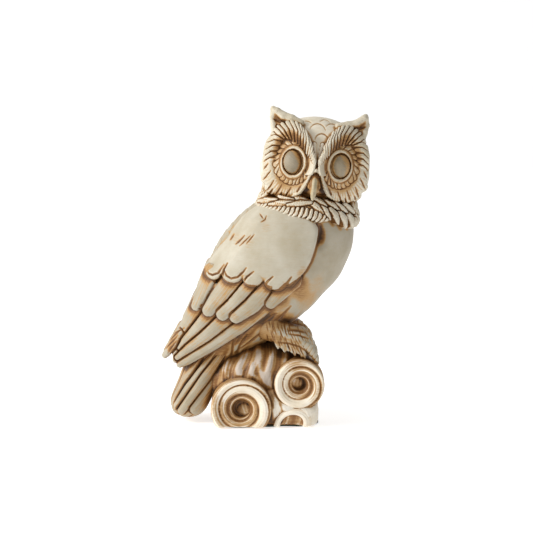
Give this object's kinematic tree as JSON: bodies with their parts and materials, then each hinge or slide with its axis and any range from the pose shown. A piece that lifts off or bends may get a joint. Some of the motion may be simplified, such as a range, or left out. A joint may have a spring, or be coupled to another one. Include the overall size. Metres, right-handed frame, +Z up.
{
  "type": "owl figurine",
  "caption": "Eared owl in antiqued ivory ceramic, wings folded and head turned to the side, perched on a rock of rolled scrolls with a felt-covered foot.",
  "frame": {"origin": "middle of the felt's resting face, on the surface that the figurine stands on", "axes": "+Z up; +X the way the bird's body faces; -Y the way its turned head looks, which is the side that is shown"},
  "size_m": [0.159, 0.0967, 0.2435],
  "materials": {
    "plumage": "satin ivory paint over the casting, with a brown antiquing wash left in the grooves",
    "rockwork": "satin off-white paint with a heavy orange-brown wash",
    "eyes": "satin greyish ivory, brushed",
    "beak": "satin, darker wash",
    "felt": "matte pressed felt"
  },
  "bodies": {
    "root": {"felt_pad": "felt", "base_mound": "rockwork", "perch_roll": "rockwork", "perch_scroll": "rockwork", "front_scroll": "rockwork", "corner_scroll": "rockwork", "rear_scroll": "rockwork", "rear_small_scroll": "rockwork", "torso": "plumage", "neck_ruff": "plumage", "head": "plumage", "beak": "beak", "face_disc_right": "plumage", "face_disc_left": "plumage", "eye_right": "eyes", "eye_left": "eyes", "brow_right": "plumage", "brow_left": "plumage", "ear_tuft_right": "plumage", "ear_tuft_left": "plumage", "wing_coverts_right": "plumage", "wing_coverts_left": "plumage", "wing_secondaries_right": "plumage", "wing_secondaries_left": "plumage", "wing_primaries_right": "plumage", "wing_primaries_left": "plumage", "tail": "plumage", "leg_right": "plumage", "leg_left": "plumage", "toes_right": "plumage", "toes_left": "plumage"}
  },
  "joints": []
}
